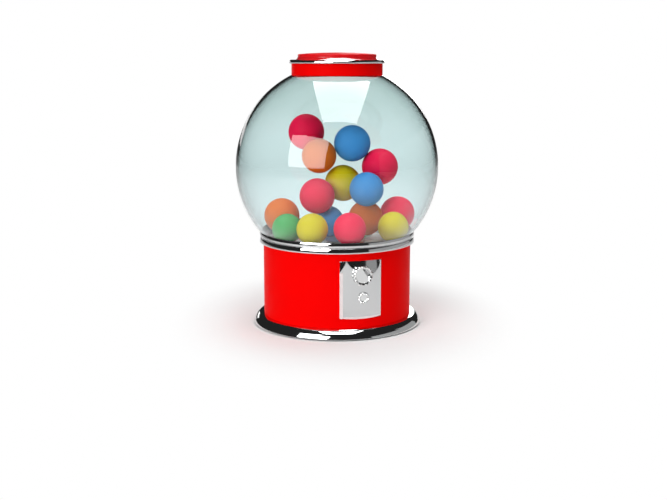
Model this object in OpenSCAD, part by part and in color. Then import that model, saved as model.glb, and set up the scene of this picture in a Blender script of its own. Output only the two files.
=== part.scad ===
// Small desktop gumball machine with a turn-knob dispenser.
// Frame: +Z up, the table is z = 0, the machine's axis is the Z axis,
// and the front plate faces -Y. All sizes are in millimetres.

/* [Body] */
// Outer diameter of the painted body
body_d = 102.8; // [102:0.2:104]
// Wall of the painted body
body_wall = 2; // [1.8:0.1:2.2]
// Height of the body's top edge above the table
body_top = 58.1; // [58:0.1:58.6]
// Widest diameter of the flared foot ring
foot_d = 116.8; // [114:0.4:122]
// Outer diameter of the two bright rings under the globe
ring_d = 107.8; // [107.4:0.2:108.6]

/* [Globe] */
// Outer diameter of the glass globe
globe_d = 139.7; // [139.5:0.1:140]
// Height of the globe's centre above the table
globe_z = 109.4; // [109.2:0.1:109.6]
// Thickness of the glass
glass_t = 1.6; // [1.4:0.1:1.7]
// Outer diameter of the painted collar round the globe's neck
collar_d = 63.2; // [62.8:0.2:64]
// Height of the collar's top face above the table
collar_top = 179.6; // [179:0.2:180.6]

/* [Lid] */
// Diameter of the bright brim
brim_d = 65; // [64:0.2:68]
// Diameter of the painted cap
cap_d = 53.5; // [52:0.5:56]
// Height of the cap's straight side
cap_side = 3.1; // [2:0.1:5]
// Height of the dome on the cap
cap_dome = 1.4; // [0.8:0.1:3]

/* [Front plate] */
// Angle from the middle of the plate to its side edge, seen from the machine's axis
plate_half_angle = 16.3; // [16.2:0.1:16.8]
// Height of the plate's lower edge above the table
plate_bottom = 13.3; // [13:0.1:13.6]
// Height of the plate's upper edge above the table
plate_top = 52; // [51.6:0.1:52.4]
// Thickness of the plate
plate_t = 1; // [0.9:0.05:1.1]
// How far the plate stands out from the body
plate_proud = 0.3; // [0.2:0.05:0.4]
// Diameter of the turn knob
knob_d = 13.7; // [13:0.1:14.6]
// Height of the knob's centre, and of the drive shaft, above the table
knob_z = 42.55; // [42.5:0.05:42.6]
// How far the knob stands out from the plate
knob_proud = 3.8; // [3.2:0.1:4.6]
// Diameter of the small ring pull
pull_d = 7.8; // [7:0.1:9]
// Height of the pull's centre above the table
pull_z = 27.2; // [26:0.1:29]
// Distance of the pull to the right of the plate's middle
pull_x = 1.2; // [0:0.1:2]

/* [Dispenser] */
// Diameter of a pocket in the dispensing wheel
pocket_d = 26.4; // [26.2:0.1:26.6]
// Distance from the wheel's axis to the centre of a pocket
pocket_r = 18.6; // [18.5:0.1:18.8]
// Number of pockets
pockets = 3; // [2, 3]
// Teeth of the pinion
pinion_teeth = 13; // [13]
// Teeth of the crown gear
crown_teeth = 78; // [78]
// Gear module: pitch diameter divided by teeth
gear_module = 1; // [1]

/* [Gumballs] */
// Angle by which the heap's own frame is turned round the axis
heap_turn = -18.4; // [-18.4]
// Diameter of the balls that lie in the wheel's pockets
pocket_ball_d = 24.6; // [20:0.2:24.8]

/* [Hidden] */

eps = 0.01;
big_fn = 128;      // circles over 20 mm across
small_fn = 48;     // circles under 20 mm across
run_gap = 0.05;    // radial clearance of a shaft that turns in its bore

red = [0.93, 0.03, 0.03];
chrome = [0.78, 0.8, 0.82];
steel = [0.6, 0.62, 0.65];
brass = [0.8, 0.65, 0.3];
rubber = [0.1, 0.1, 0.1];
white_plastic = [0.9, 0.9, 0.88];
grey_plastic = [0.6, 0.63, 0.63];
candy_red = [0.86, 0.1, 0.25];
candy_blue = [0.2, 0.45, 0.75];
candy_orange = [0.85, 0.42, 0.15];
candy_yellow = [0.72, 0.68, 0.15];
candy_green = [0.2, 0.6, 0.35];

// Body and foot
body_r = body_d / 2;
body_in = body_r - body_wall;
foot_r = foot_d / 2;
foot_gap = 0.7;                       // foot ring's metal clears the table by this
foot_lip_top = 7;                     // where the foot ring meets the body
foot_shelf_r = 54.8;                  // the foot's flat top ends here and its skirt begins
foot_shelf_z = 6.8;
foot_edge_round = 0.25;               // rounding of the foot's lowest edge
foot_knee_r = 57.3;                   // the skirt turns steeper here
foot_knee_z = 3.9;
foot_side_r = foot_r - 0.2;           // the skirt's side, a little above its lowest edge
foot_side_z = 1.9;
shell_bottom = 5;                     // the body shell stands on the foot ring's ledge
flange_in = 43;                       // inner edge of the foot ring's flange
plate_under = 2.2;                    // underside of that flange
base_plate_r = body_in - 0.1;
rubber_in = 50.4;
rubber_out = 55;
rubber_top = 1.7;
base_screw_r = 46.2;                  // circle of the base screws
screw_head_r = 2.2;
screw_r = 1.2;
head_gap = 0.02;                      // clearance round a countersunk head

// Rings under the globe
bead_r = 1.45;
ring_r = ring_d / 2;
lower_bead_z = body_top + bead_r;
web_top = body_top + 2;
gasket_t = 0.6;
glass_bottom = web_top + gasket_t;
groove_h = 1;
upper_bead_z = lower_bead_z + 2 * bead_r + groove_h;
groove_r = ring_r - 2;
step_r = 51.4;                        // the upper ring is centred on this step of the lower one
web_in = 47.9;
spigot_r = body_in - 0.1;
spigot_bottom = body_top - 2.6;
ledge_in = 45.4;                      // ledge that carries the hopper
ledge_top = body_top - 0.9;
ledge_t = 1.2;

// Globe
globe_r = globe_d / 2;
globe_in = globe_r - glass_t;
neck_r = 29.1;                        // outside of the glass neck
neck_in = neck_r - glass_t;
neck_top = collar_top - 0.6;
glass_seat_r = sqrt(pow(globe_r, 2) - pow(globe_z - glass_bottom, 2));
collar_r = collar_d / 2;

// Lid
brim_r = brim_d / 2;
cap_r = cap_d / 2;
brim_edge_r = 0.45;                   // rolled edge of the brim
brim_flat = 0.9;                      // height of the brim at its edge
brim_top = collar_top + 2.9;
brim_in = 24;
cap_edge_r = 0.7;
plug_r = neck_in - 0.6;
plug_wall = 1.9;
plug_bottom = collar_top - 7.1;

// Front plate, which is the outlet's door
plate_out = body_r + plate_proud;
plate_in = plate_out - plate_t;
barrel_r = plate_t;                   // rolled edge that holds the hinge pin
hinge_r = plate_out - barrel_r;
stem_r = 1;                           // stem of the pull, and its hole in the plate
hinge_angle = plate_half_angle - asin(barrel_r / hinge_r);
hinge_x = -hinge_r * sin(hinge_angle);
hinge_y = -hinge_r * cos(hinge_angle);
pin_r = 0.4;
pin_reach = 2;                        // how far the pin enters the body above and below
plate_gap = 0.25;                     // seam between the plate and the body
barrel_gap = 0.4;                     // seam beside the rolled edge, for its swing
frame_out = body_in;
frame_in = body_in - 1.5;
frame_half_angle = 19.5;
outlet_left = -12;                    // clear opening behind the plate, along X
outlet_right = 13.6;
outlet_bottom = 14.8;
outlet_top = 50.4;
stop_gap = 0.1;                       // the closed plate clears its stop by this

// Knob and its drive, along -Y; each q is a distance from the machine's axis to the front
knob_r = knob_d / 2;
knob_q0 = plate_out + 0.35;
knob_q1 = plate_out + knob_proud;
spindle_r = 1.6;
bush_r = 3.2;
bush_flange_r = 4.2;
bush_q0 = plate_in - 2.1;
tongue_q0 = 45.9;
tongue_q1 = 47.9;
tongue_t = 1.1;
tongue_w = 4.4;
clip_r = 2.9;
clip_q0 = 48.05;
clip_t = 0.45;
shaft_r = 2;
shaft_q0 = 36.3;
bearing_q0 = 41.8;
bearing_q1 = 45.3;
head_q0 = 45.6;
head_q1 = 47.75;
head_r = 3.4;
slot_w = 1.5;
slot_q0 = 45.7;

// Gears
pinion_pitch_r = gear_module * pinion_teeth / 2;
addendum = 0.75 * gear_module;
dedendum = 1.05 * gear_module;
tip_w = 0.62 * gear_module;
root_w = 1.75 * gear_module;
crown_root_z = knob_z + pinion_pitch_r + dedendum;
pinion_q0 = 36.9;
pinion_q1 = 41.1;
crown_in = 36.6;
crown_out = 41.4;
crown_back = 2.4;

// Dispensing wheel and the fixed parts round it
floor_z = 35.4;                       // top of the fixed floor plate
floor_t = 1.4;
floor_r = 45.5;
wheel_r = 35.6;
wheel_z0 = floor_z + 0.3;
wheel_z1 = 58.8;
drop_hole_r = pocket_d / 2;
axle_r = 2;
axle_head_r = 3.6;
nut_r = 3.6;
nut_h = 3.2;
nut_recess_r = 4.1;
nut_recess_z = 54.4;
hub_boss_r = 4.4;
hub_boss_z = 27;
stirrer_top = 59.6;
leg_r = 3.6;
leg_ring = 38.5;
leg_angles = [70, 180, -70];          // measured from the front
guard_z0 = 60.8;
guard_z1 = 61.6;
guard_end = 46;
guard_half_w = 8;
guard_peg_r = 1.2;                    // pegs that hold the guard in the hopper
guard_peg_q = 43.6;
guard_peg_x = 5;
hopper_in = wheel_r + 0.7;
hopper_out = web_in - 0.1;
hopper_z0 = 58.2;
hopper_z1 = 59.3;
hopper_t = 1.3;

// Chute
chute_mid = 0.8;
chute_half_w = 12.9;
chute_wall = 1;
chute_back_q = 6;
chute_front_q = 47.4;
chute_front_z = 6.3;
chute_slope = 4.5;
chute_top = floor_z - floor_t - 0.1;

// Gumballs. Each row of BOTTOM_BALLS is [colour, diameter, across, away, height];
// each row of UPPER_BALLS is [colour, diameter, across, height, ball it leans on, side],
// where side is -1 in front of that ball and 1 behind it. Ball numbers run on
// through both lists.
touch_gap = 0.06;
BOTTOM_BALLS = [
    ["orange", 24.4, 20, -2, 73.4],
    ["orange", 25, -38.8, 4, 74],
    ["green", 20, -33.6, -26, 70.2],
    ["yellow", 21, -16.4, -37.2, 71.6],
    ["red", 21.5, 8.3, -41, 72.4],
    ["yellow", 21, 38.4, -15.5, 69.3],
    ["red", 25, 42.8, 7.4, 74.8],
    ["blue", 21.8, -6, 1.2, 70.6]
];
UPPER_BALLS = [
    ["blue", 23.4, 20.2, 95, 0, -1],
    ["yellow", 25.4, 4.2, 97, 8, 1],
    ["red", 25.4, 30, 108.6, 8, 1],
    ["red", 24.4, -13.6, 90, 9, -1],
    ["blue", 25.4, 10.6, 125, 10, -1],
    ["orange", 24, -12.4, 116.6, 12, -1],
    ["red", 25.4, -21.6, 132, 13, 1]
];
bottom_count = len(BOTTOM_BALLS);
ball_count = bottom_count + len(UPPER_BALLS);

function is_upper(i) = i >= bottom_count;
function ball_row(i) = is_upper(i) ? UPPER_BALLS[i - bottom_count] : BOTTOM_BALLS[i];
function ball_colour(i) = ball_row(i)[0];
function ball_d(i) = ball_row(i)[1];
function ball_across(i) = ball_row(i)[2];
function ball_height(i) = is_upper(i) ? ball_row(i)[3] : ball_row(i)[4];
// Depth at which ball i just touches the ball that it leans on
function depth_by_contact(i, other) =
    let (reach = (ball_d(i) + ball_d(other)) / 2 + touch_gap)
    let (dx = ball_across(i) - ball_across(other))
    let (dz = ball_height(i) - ball_height(other))
    ball_away(other) + ball_row(i)[5] * sqrt(max(0, reach * reach - dx * dx - dz * dz));
function ball_away(i) = is_upper(i) ? depth_by_contact(i, ball_row(i)[4]) : ball_row(i)[3];
function ball_pos(i) = [ball_across(i), ball_away(i), ball_height(i)];

// Point at distance q from the axis towards the front, turned by an angle towards +X
function front_polar(q, angle) = [q * sin(angle), -q * cos(angle)];

// ---- shared shapes ----

// A turned piece from its half outline
module turned() {
    rotate_extrude($fn = big_fn) children();
}

// Flat sector of a ring between two angles measured from the front towards +X
module sector_2d(r0, r1, a0, a1) {
    span = 60;
    intersection() {
        difference() {
            circle(r = r1, $fn = big_fn);
            circle(r = r0, $fn = big_fn);
        }
        polygon([[0, 0], front_polar(span * 2, a0), front_polar(span * 2, (a0 + a1) / 2),
            front_polar(span * 2, a1)]);
    }
}

// Cylinder that lies along the front direction at the knob's height
module front_cylinder(r, q0, q1, fn = small_fn) {
    translate([0, -q0, knob_z])
        rotate([90, 0, 0])
            cylinder(r = r, h = q1 - q0, $fn = fn);
}

// Puts children at equal angles round the axis
module around(count, start = 0) {
    for (i = [0:count - 1])
        rotate([0, 0, start + i * 360 / count])
            children();
}

module screw_set(angles, ring, z_top) {
    for (a = angles)
        rotate([0, 0, a])
            translate([0, -ring, foot_gap]) {
                cylinder(r1 = screw_head_r, r2 = screw_r, h = plate_under - foot_gap, $fn = small_fn);
                translate([0, 0, plate_under - foot_gap - eps])
                    cylinder(r = screw_r, h = z_top - plate_under, $fn = small_fn);
            }
}

module screw_cut(angles, ring, z_top) {
    for (a = angles)
        rotate([0, 0, a])
            translate([0, -ring, foot_gap - eps]) {
                cylinder(r1 = screw_head_r + head_gap, r2 = screw_r + head_gap,
                    h = plate_under - foot_gap + eps, $fn = small_fn);
                cylinder(r = screw_r, h = z_top - foot_gap + 0.5, $fn = small_fn);
            }
}

base_screw_angles = [30, 150, 270];
base_screw_top = 4.6;
frame_screw_top = 12;

// ---- base and body ----

module base_ring() {
    color(chrome) difference() {
        turned() difference() {
            union() {
                translate([foot_r - foot_edge_round, foot_gap + foot_edge_round])
                    circle(r = foot_edge_round, $fn = small_fn);
                polygon([[flange_in, foot_gap], [foot_r - foot_edge_round, foot_gap],
                    [foot_r, foot_gap + foot_edge_round], [foot_side_r, foot_side_z],
                    [foot_knee_r, foot_knee_z], [foot_shelf_r + 0.4, foot_shelf_z - 0.5],
                    [foot_shelf_r - 0.3, foot_shelf_z], [body_r, foot_lip_top],
                    [body_r, shell_bottom], [flange_in, shell_bottom]]);
            }
            translate([flange_in - 1, foot_gap - 1])
                square([body_in - flange_in + 1, plate_under - foot_gap + 1]);
            translate([rubber_in, foot_gap - 1])
                square([rubber_out - rubber_in, rubber_top - foot_gap + 1]);
        }
        screw_cut(base_screw_angles, base_screw_r, base_screw_top);
    }
}

module foot_ring() {
    color(rubber) turned()
        translate([rubber_in, 0])
            square([rubber_out - rubber_in, rubber_top]);
}

module base_plate() {
    color(steel) difference() {
        translate([0, 0, foot_gap])
            cylinder(r = base_plate_r, h = plate_under - foot_gap, $fn = big_fn);
        screw_cut(base_screw_angles, base_screw_r, base_screw_top);
        screw_cut(leg_angles, leg_ring, frame_screw_top);
    }
}

module base_screws() {
    color(steel) screw_set(base_screw_angles, base_screw_r, base_screw_top);
}

module frame_screws() {
    color(steel) screw_set(leg_angles, leg_ring, frame_screw_top);
}

module body_shell() {
    color(red) difference() {
        translate([0, 0, shell_bottom]) difference() {
            cylinder(r = body_r, h = body_top - shell_bottom, $fn = big_fn);
            translate([0, 0, -1])
                cylinder(r = body_in, h = body_top - shell_bottom + 2, $fn = big_fn);
        }
        translate([0, 0, plate_bottom - plate_gap])
            linear_extrude(plate_top - plate_bottom + 2 * plate_gap)
                sector_2d(body_in - 1, body_r + 1, -hinge_angle, plate_half_angle + 0.3);
        translate([hinge_x, hinge_y, plate_bottom - plate_gap])
            cylinder(r = barrel_r + barrel_gap, h = plate_top - plate_bottom + 2 * plate_gap, $fn = small_fn);
        translate([hinge_x, hinge_y, plate_bottom - pin_reach])
            cylinder(r = pin_r, h = plate_top - plate_bottom + 2 * pin_reach, $fn = 24);
    }
}

module body_top_ring() {
    color(chrome) turned() union() {
        translate([ring_r - bead_r, lower_bead_z])
            circle(r = bead_r, $fn = small_fn);
        polygon([[web_in, body_top], [ring_r - bead_r, body_top],
            [ring_r - bead_r, lower_bead_z + bead_r], [step_r, lower_bead_z + bead_r],
            [step_r, glass_bottom], [glass_seat_r + 0.1, glass_bottom],
            [glass_seat_r + 0.1, web_top], [web_in, web_top]]);
        translate([web_in, spigot_bottom])
            square([spigot_r - web_in, body_top - spigot_bottom + eps]);
        translate([ledge_in, ledge_top - ledge_t])
            square([web_in - ledge_in + eps, ledge_t]);
    }
}

module globe_seat_ring() {
    color(chrome) turned() difference() {
        union() {
            translate([ring_r - bead_r, upper_bead_z])
                circle(r = bead_r, $fn = small_fn);
            polygon([[glass_seat_r - 0.5, glass_bottom], [step_r, glass_bottom],
                [step_r, lower_bead_z + bead_r], [groove_r, lower_bead_z + bead_r],
                [groove_r, upper_bead_z - bead_r], [ring_r - bead_r, upper_bead_z - bead_r],
                [ring_r - bead_r, upper_bead_z + bead_r], [glass_seat_r - 0.5, upper_bead_z + bead_r]]);
        }
        translate([0, globe_z])
            circle(r = globe_r + 0.05, $fn = 2 * big_fn);
    }
}

module globe_gasket() {
    color(rubber) turned()
        translate([web_in + 0.1, web_top])
            square([glass_seat_r - web_in, gasket_t]);
}

// ---- globe and collar ----

module globe() {
    color([0.8, 0.92, 0.92, 0.35]) turned() difference() {
        union() {
            intersection() {
                translate([0, globe_z])
                    circle(r = globe_r, $fn = 2 * big_fn);
                translate([0, glass_bottom])
                    square([globe_r + 1, collar_top]);
            }
            translate([0, globe_z])
                square([neck_r, neck_top - globe_z]);
        }
        translate([0, globe_z])
            circle(r = globe_in, $fn = 2 * big_fn);
        translate([-1, globe_z])
            square([neck_in + 1, collar_top]);
        translate([-globe_d, 0])
            square([globe_d, 2 * globe_d]);
    }
}

module neck_collar() {
    edge = 1;
    base_z = globe_z + sqrt(pow(globe_r, 2) - pow(collar_r, 2));
    color(red) turned() difference() {
        union() {
            translate([collar_r - edge, base_z + edge])
                circle(r = edge, $fn = small_fn);
            polygon([[neck_r + 0.05, base_z], [collar_r - edge, base_z],
                [collar_r, base_z + edge], [collar_r, collar_top], [neck_r + 0.05, collar_top]]);
        }
        translate([0, globe_z])
            circle(r = globe_r + 0.05, $fn = 2 * big_fn);
    }
}

// ---- lid ----

module lid_brim() {
    color(chrome) turned() union() {
        translate([brim_r - brim_edge_r, collar_top + brim_edge_r])
            circle(r = brim_edge_r, $fn = small_fn);
        polygon([[brim_in, collar_top], [brim_r - brim_edge_r, collar_top],
            [brim_r - brim_edge_r, collar_top + brim_flat], [cap_r, brim_top], [brim_in, brim_top]]);
    }
}

module lid_cap() {
    dome_r = (pow(cap_r, 2) + pow(cap_dome, 2)) / (2 * cap_dome);
    side_top = brim_top + cap_side;
    color(red) turned() intersection() {
        union() {
            translate([0, brim_top])
                square([cap_r, cap_side - cap_edge_r]);
            translate([0, brim_top])
                square([cap_r - cap_edge_r, cap_side + cap_dome]);
            translate([cap_r - cap_edge_r, side_top - cap_edge_r])
                circle(r = cap_edge_r, $fn = small_fn);
        }
        translate([0, side_top + cap_dome - dome_r])
            circle(r = dome_r, $fn = 8 * big_fn);
        translate([0, brim_top])
            square([cap_r + 1, cap_side + 2 * cap_dome]);
    }
}

module lid_plug() {
    color(white_plastic) turned() union() {
        translate([plug_r - plug_wall, plug_bottom])
            square([plug_wall, collar_top - plug_bottom]);
        translate([0, collar_top - 1.5])
            square([plug_r, 1.5]);
        translate([0, collar_top - eps])
            square([brim_in, brim_top - collar_top + eps]);
    }
}

module lid_gasket() {
    color(rubber) turned()
        translate([plug_r, neck_top + 0.1])
            square([neck_r - plug_r, collar_top - neck_top - 0.1]);
}

// ---- front plate, pull and knob ----

module front_plate() {
    color(chrome) difference() {
        union() {
            translate([0, 0, plate_bottom])
                linear_extrude(plate_top - plate_bottom)
                    sector_2d(plate_in, plate_out, -hinge_angle, plate_half_angle);
            translate([hinge_x, hinge_y, plate_bottom])
                cylinder(r = barrel_r, h = plate_top - plate_bottom, $fn = small_fn);
        }
        translate([hinge_x, hinge_y, plate_bottom - 1])
            cylinder(r = pin_r + run_gap, h = plate_top - plate_bottom + 2, $fn = 24);
        front_cylinder(bush_r, plate_in - 2, plate_out + 2);
        translate([pull_x, -plate_in + 2, pull_z])
            rotate([90, 0, 0])
                cylinder(r = stem_r, h = 6, $fn = small_fn);
    }
}

module hinge_pin() {
    color(steel)
        translate([hinge_x, hinge_y, plate_bottom - pin_reach])
            cylinder(r = pin_r, h = plate_top - plate_bottom + 2 * pin_reach, $fn = 24);
}

module knob_bush() {
    color(brass) difference() {
        union() {
            front_cylinder(bush_r, bush_q0, plate_out);
            front_cylinder(bush_flange_r, plate_out, plate_out + 0.3);
        }
        front_cylinder(spindle_r + run_gap, bush_q0 - 1, plate_out + 2);
    }
}

// Small ring on a stem that is riveted through the plate
module door_pull() {
    ring_w = 0.75;
    ring_q = plate_out + 0.85;
    head_r = 1.6;
    color(chrome) union() {
        translate([pull_x, -ring_q, pull_z])
            rotate([90, 0, 0])
                rotate_extrude($fn = small_fn)
                    translate([pull_d / 2 - ring_w, 0])
                        circle(r = ring_w, $fn = 24);
        translate([pull_x, -plate_out, pull_z])
            rotate([90, 0, 0])
                cylinder(r = pull_d / 2 - ring_w, h = 0.6, $fn = small_fn);
        translate([pull_x, -plate_in + 0.6, pull_z])
            rotate([90, 0, 0])
                cylinder(r = stem_r, h = plate_t + 1, $fn = small_fn);
        translate([pull_x, -plate_in + 0.65, pull_z])
            rotate([90, 0, 0])
                cylinder(r = head_r, h = 0.55, $fn = small_fn);
    }
}

// Turn knob: a flat face inside a raised rim with finger notches
module knob() {
    rim_w = 1.7;
    face_q = knob_q0 + 2.1;
    notches = 16;
    notch_r = 0.55;
    color(chrome) difference() {
        translate([0, -knob_q0, knob_z])
            rotate([90, 0, 0])
                rotate_extrude($fn = big_fn) difference() {
                    union() {
                        square([knob_r - 0.2, face_q - knob_q0]);
                        translate([knob_r - rim_w, 0])
                            square([rim_w - 0.5, knob_q1 - knob_q0 - 0.5]);
                        translate([knob_r - rim_w / 2, knob_q1 - knob_q0 - rim_w / 2])
                            circle(r = rim_w / 2, $fn = small_fn);
                        translate([knob_r - rim_w, 0.5])
                            square([rim_w, knob_q1 - knob_q0 - rim_w / 2 - 0.5]);
                    }
                    translate([0, -1])
                        square([spindle_r, 2.6]);
                }
        for (i = [0:notches - 1])
            translate([0, 0, knob_z])
                rotate([0, i * 360 / notches, 0])
                    translate([knob_r + 0.15, -knob_q0 - 0.9, 0])
                        rotate([90, 0, 0])
                            cylinder(r = notch_r, h = knob_proud, $fn = 16);
    }
}

module knob_spindle() {
    color(steel) union() {
        front_cylinder(spindle_r, tongue_q1 - eps, knob_q0 + 1.6);
        translate([-tongue_w / 2, -tongue_q1, knob_z - tongue_t / 2])
            cube([tongue_w, tongue_q1 - tongue_q0, tongue_t]);
    }
}

module knob_clip() {
    color(steel) difference() {
        front_cylinder(clip_r, clip_q0, clip_q0 + clip_t);
        front_cylinder(spindle_r, clip_q0 - 1, clip_q0 + clip_t + 1);
        translate([-0.9, -clip_q0 - clip_t - 1, knob_z])
            cube([1.8, clip_t + 2, clip_r + 1]);
    }
}

// ---- drive ----

module drive_shaft() {
    color(steel) difference() {
        union() {
            front_cylinder(shaft_r, shaft_q0, head_q0 + eps);
            front_cylinder(head_r, head_q0, head_q1);
        }
        translate([-head_r - 1, -head_q1 - 1, knob_z - slot_w / 2])
            cube([2 * head_r + 2, head_q1 - slot_q0 + 1, slot_w]);
    }
}

// Outline of one straight-sided tooth that points along +Y from the pitch line
module tooth_2d(tip, root, up, down) {
    polygon([[-root / 2, -down], [root / 2, -down], [tip / 2, up], [-tip / 2, up]]);
}

module pinion() {
    color(brass) translate([0, -pinion_q0, knob_z])
        rotate([90, 0, 0])
            linear_extrude(pinion_q1 - pinion_q0) difference() {
                union() {
                    circle(r = pinion_pitch_r - dedendum, $fn = big_fn);
                    for (i = [0:pinion_teeth - 1])
                        rotate((i + 0.5) * 360 / pinion_teeth)
                            translate([0, pinion_pitch_r])
                                tooth_2d(tip_w, root_w, addendum, dedendum + 0.2);
                }
                circle(r = shaft_r, $fn = small_fn);
            }
}

// Ring with teeth on its underside that the pinion drives
module crown_gear() {
    color(grey_plastic) union() {
        translate([0, 0, crown_root_z]) difference() {
            cylinder(r = crown_out, h = crown_back, $fn = big_fn);
            translate([0, 0, -1])
                cylinder(r = wheel_r, h = crown_back + 2, $fn = big_fn);
        }
        around(crown_teeth)
            translate([0, -crown_in, knob_z + pinion_pitch_r])
                rotate([90, 0, 0])
                    linear_extrude(crown_out - crown_in - 0.1)
                        mirror([0, 1])
                            tooth_2d(tip_w, root_w, addendum, dedendum + 0.05);
    }
}

// ---- dispensing wheel ----

module dispensing_wheel() {
    color(white_plastic) difference() {
        translate([0, 0, wheel_z0])
            cylinder(r = wheel_r, h = wheel_z1 - wheel_z0, $fn = big_fn);
        around(pockets)
            translate([0, -pocket_r, wheel_z0 - 1])
                cylinder(r = pocket_d / 2, h = wheel_z1 - wheel_z0 + 2, $fn = big_fn);
        translate([0, 0, wheel_z0 - 1])
            cylinder(r = axle_r + run_gap, h = wheel_z1 - wheel_z0 + 2, $fn = small_fn);
        translate([0, 0, nut_recess_z])
            cylinder(r = nut_recess_r, h = wheel_z1 - nut_recess_z + 1, $fn = small_fn);
    }
}

// Cap over the axle nut, with three low arms between the pockets
module stirrer() {
    arm_w = 3;
    arm_end = 33;
    color(white_plastic) union() {
        translate([0, 0, wheel_z1])
            cylinder(r = 5, h = stirrer_top - wheel_z1, $fn = small_fn);
        around(pockets, 180 / pockets)
            translate([-arm_w / 2, -arm_end, wheel_z1])
                cube([arm_w, arm_end, stirrer_top - wheel_z1]);
    }
}

module pocket_ball(turn) {
    rotate([0, 0, turn])
        translate([0, -pocket_r, floor_z + 0.35 + pocket_ball_d / 2])
            sphere(d = pocket_ball_d, $fn = 64);
}

// ---- fixed parts round the wheel ----

module mechanism_frame() {
    block_w = 11;
    block_top = knob_z + 4.6;
    window_w = 16;
    color(grey_plastic) difference() {
        union() {
            translate([0, 0, floor_z - floor_t])
                cylinder(r = floor_r, h = floor_t, $fn = big_fn);
            translate([-block_w / 2, -bearing_q1, floor_z - floor_t])
                cube([block_w, bearing_q1 - bearing_q0, block_top - floor_z + floor_t]);
            translate([0, 0, hub_boss_z])
                cylinder(r = hub_boss_r, h = floor_z - hub_boss_z, $fn = small_fn);
            for (a = leg_angles)
                rotate([0, 0, a])
                    translate([0, -leg_ring, plate_under])
                        cylinder(r = leg_r, h = floor_z - floor_t - plate_under + eps, $fn = small_fn);
        }
        translate([0, -pocket_r, floor_z - floor_t - 1])
            cylinder(r = drop_hole_r, h = floor_t + 2, $fn = big_fn);
        translate([-window_w / 2, -bearing_q0 + 0.2, floor_z - floor_t - 1])
            cube([window_w, bearing_q0 - shaft_q0, floor_t + 1.5]);
        front_cylinder(shaft_r + run_gap, bearing_q0 - 1, bearing_q1 + 1);
        translate([0, 0, hub_boss_z - 1])
            cylinder(r = axle_r, h = floor_z, $fn = small_fn);
        screw_cut(leg_angles, leg_ring, frame_screw_top);
    }
}

module wheel_axle() {
    color(steel) union() {
        translate([0, 0, hub_boss_z - 2])
            cylinder(r = axle_head_r, h = 2, $fn = small_fn);
        translate([0, 0, hub_boss_z - 2])
            cylinder(r = axle_r, h = wheel_z1 - 0.3 - hub_boss_z + 2, $fn = small_fn);
    }
}

module axle_nut() {
    color(steel) translate([0, 0, nut_recess_z + 0.2]) difference() {
        cylinder(r = nut_r, h = nut_h, $fn = 6);
        translate([0, 0, -1])
            cylinder(r = axle_r, h = nut_h + 2, $fn = small_fn);
    }
}

// Side wall of the chute, from its sloping floor up to the floor plate
module chute_outline() {
    rise = (chute_front_q - chute_back_q) * tan(chute_slope);
    polygon([[-chute_front_q, chute_front_z], [-chute_back_q, chute_front_z + rise],
        [-chute_back_q, chute_top], [-chute_front_q, chute_top]]);
}

module chute() {
    floor_drop = 1.2;
    rise = (chute_front_q - chute_back_q) * tan(chute_slope);
    full_w = 2 * (chute_half_w + chute_wall);
    color(white_plastic) intersection() {
        difference() {
            translate([chute_mid - full_w / 2, 0, 0])
                rotate([90, 0, 90])
                    linear_extrude(full_w)
                        polygon([[-chute_front_q - 1, chute_front_z - floor_drop],
                            [-chute_back_q + chute_wall, chute_front_z + rise - floor_drop],
                            [-chute_back_q + chute_wall, chute_top], [-chute_front_q - 1, chute_top]]);
            translate([chute_mid - chute_half_w, 0, 0])
                rotate([90, 0, 90])
                    linear_extrude(2 * chute_half_w)
                        polygon([[-chute_front_q - 2, chute_front_z - 2 * tan(chute_slope)],
                            [-chute_back_q, chute_front_z + rise],
                            [-chute_back_q, chute_top + 5], [-chute_front_q - 2, chute_top + 5]]);
        }
        cylinder(r = chute_front_q, h = floor_z, $fn = big_fn);
    }
}

// Frame inside the body wall that the closed plate rests on
module outlet_frame() {
    margin = 2.6;
    color(white_plastic) difference() {
        union() {
            translate([0, 0, plate_bottom - margin])
                linear_extrude(plate_top - plate_bottom + 2 * margin)
                    sector_2d(frame_in, frame_out, -frame_half_angle, frame_half_angle);
            translate([0, 0, plate_bottom])
                linear_extrude(plate_top - plate_bottom)
                    sector_2d(frame_in, plate_in - stop_gap, -hinge_angle, plate_half_angle);
        }
        translate([outlet_left, -body_r - 1, outlet_bottom])
            cube([outlet_right - outlet_left, body_r, outlet_top - outlet_bottom]);
        translate([hinge_x, hinge_y, plate_bottom - plate_gap])
            cylinder(r = barrel_r + barrel_gap, h = plate_top - plate_bottom + 2 * plate_gap, $fn = small_fn);
    }
}

module guard_pegs() {
    for (side = [-1, 1])
        translate([side * guard_peg_x, -guard_peg_q, hopper_z0 - hopper_t])
            cylinder(r = guard_peg_r, h = guard_z0 - hopper_z0 + hopper_t + eps, $fn = small_fn);
}

// Plate over the drop hole, so that no ball falls past the wheel
module ball_guard() {
    color(steel) union() {
        guard_pegs();
        translate([0, 0, guard_z0])
            linear_extrude(guard_z1 - guard_z0) union() {
                translate([0, -pocket_r])
                    circle(r = pocket_d / 2 + 0.4, $fn = big_fn);
                intersection() {
                    translate([-guard_half_w, -guard_end])
                        square([2 * guard_half_w, guard_end - pocket_r]);
                    circle(r = guard_end, $fn = big_fn);
                }
            }
    }
}

module hopper() {
    color(white_plastic) difference() {
        turned() polygon([[hopper_in, hopper_z0 - hopper_t], [hopper_in, hopper_z0],
            [hopper_out, hopper_z1], [hopper_out, ledge_top], [ledge_in - 1, ledge_top]]);
        guard_pegs();
    }
}

// ---- gumballs of the heap ----

module heap(colour_name, shade) {
    color(shade) rotate([0, 0, heap_turn])
        for (i = [0:ball_count - 1])
            if (ball_colour(i) == colour_name)
                translate(ball_pos(i))
                    sphere(d = ball_d(i), $fn = 64);
}

module gumballs_red() {
    heap("red", candy_red);
}

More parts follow.
